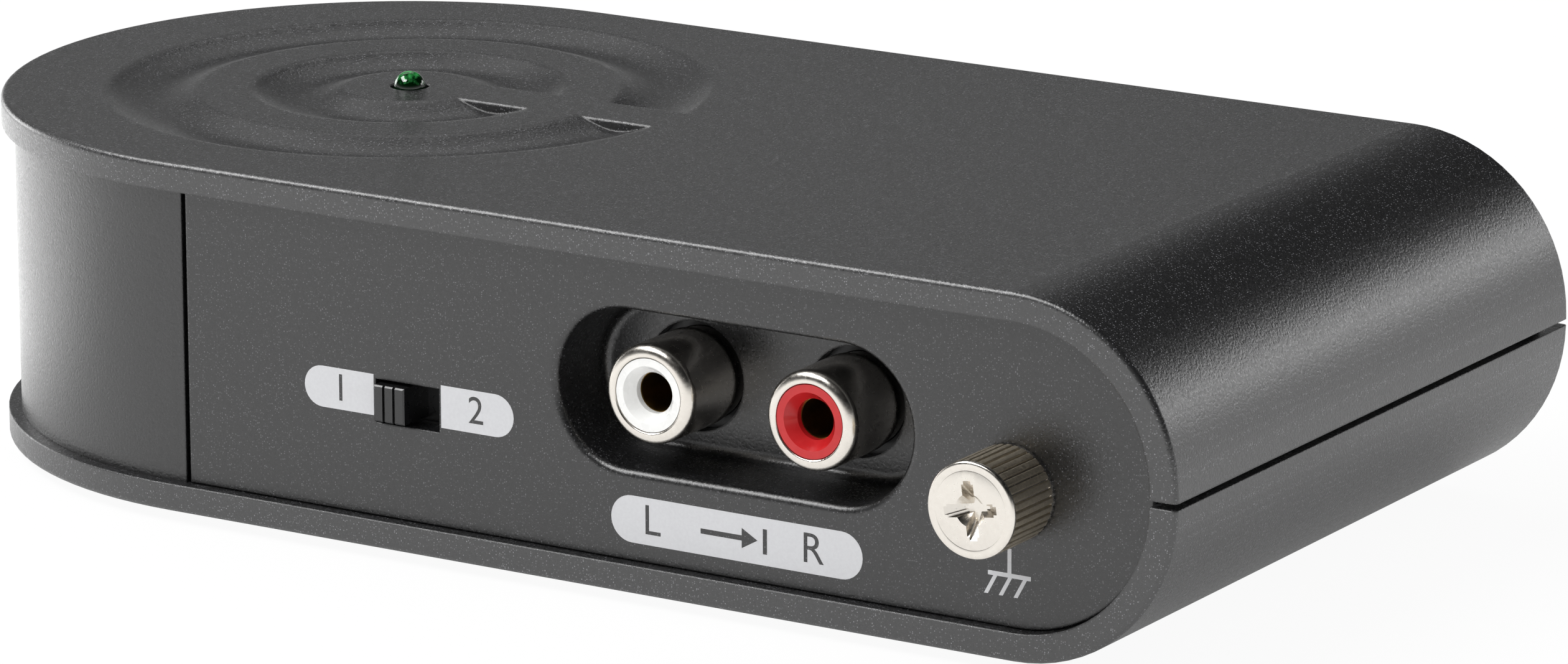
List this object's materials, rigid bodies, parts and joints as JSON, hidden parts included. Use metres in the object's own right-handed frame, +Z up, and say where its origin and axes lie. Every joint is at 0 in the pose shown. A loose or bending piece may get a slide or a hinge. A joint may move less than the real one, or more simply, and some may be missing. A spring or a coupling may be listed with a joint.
{
  "type": "phono preamp",
  "caption": "Small plastic-cased turntable preamplifier with phono sockets in a recess, a slide switch, a ground thumb screw and a ring relief about its lamp.",
  "frame": {"origin": "on the table, under the middle of the whole preamp with its ground screw", "axes": "+Z up, +X to the round nose, -Y to the input side with the switch"},
  "size_m": [0.1297, 0.0716, 0.0323],
  "materials": {
    "case_plastic": "spark-eroded grain, charcoal",
    "switch_plastic": "moulded, black",
    "socket_body_plastic": "moulded, black",
    "white_insert": "moulded, white",
    "red_insert": "moulded, red",
    "nickel_plate": "nickel plated brass",
    "contact_brass": "bare stamped brass",
    "sheet_steel": "tinned sheet",
    "screw_steel": "black zinc plated",
    "rubber": "matte black",
    "lamp_lens": "green tinted epoxy",
    "board_laminate": "green solder mask",
    "capacitor_sleeve": "shrink sleeve",
    "film_box": "moulded box",
    "chip_plastic": "moulded package",
    "spacer_plastic": "natural nylon",
    "panel_print": "screen printed ink, pale grey"
  },
  "bodies": {
    "preamp_case": {"board_screws": "screw_steel", "bottom_cover": "case_plastic", "case_screws": "screw_steel", "chip_resistors": "chip_plastic", "circuit_board": "board_laminate", "coupling_capacitors": "capacitor_sleeve", "end_wall": "case_plastic", "equaliser_capacitors": "film_box", "foot_lamp_end_back": "rubber", "foot_lamp_end_front": "rubber", "foot_nose_back": "rubber", "foot_nose_front": "rubber", "ground_bracket": "sheet_steel", "input_contacts": "contact_brass", "input_left_ferrule": "nickel_plate", "input_left_insert": "white_insert", "input_panel": "case_plastic", "input_right_ferrule": "nickel_plate", "input_right_insert": "red_insert", "input_socket_block": "socket_body_plastic", "lamp_leads": "sheet_steel", "lamp_lens": "lamp_lens", "lamp_spacer": "spacer_plastic", "op_amps": "chip_plastic", "output_contacts": "contact_brass", "output_left_ferrule": "nickel_plate", "output_left_insert": "white_insert", "output_panel": "case_plastic", "output_right_ferrule": "nickel_plate", "output_right_insert": "red_insert", "output_socket_block": "socket_body_plastic", "power_inlet": "socket_body_plastic", "power_pin": "nickel_plate", "supply_capacitors": "capacitor_sleeve", "switch_base": "chip_plastic", "switch_frame": "sheet_steel", "switch_terminals": "contact_brass", "top_cover": "case_plastic", "voltage_regulator": "chip_plastic"},
    "switch_lever": {"switch_lever": "switch_plastic", "switch_wiper": "contact_brass"},
    "terminal_carrier": {"ground_washer": "nickel_plate"},
    "terminal_screw": {"ground_screw": "nickel_plate"}
  },
  "joints": [
    {"name": "switch_slide", "type": "slide", "parent": "preamp_case", "child": "switch_lever", "axis": [1, 0, 0], "range_m": [0, 0.0027]},
    {"name": "terminal_travel", "type": "slide", "parent": "preamp_case", "child": "terminal_carrier", "axis": [0, -1, 0], "range_m": [0, 0.0035]},
    {"name": "terminal_turn", "type": "hinge", "parent": "terminal_carrier", "child": "terminal_screw", "pos_m": [0.0494, -0.02965, 0.0145], "axis": [0, -1, 0], "range_deg": [0, 1800]}
  ],
  "couplings": [
    {"joint": "terminal_turn", "follows": "terminal_travel", "rad_per_m": 8976}
  ]
}
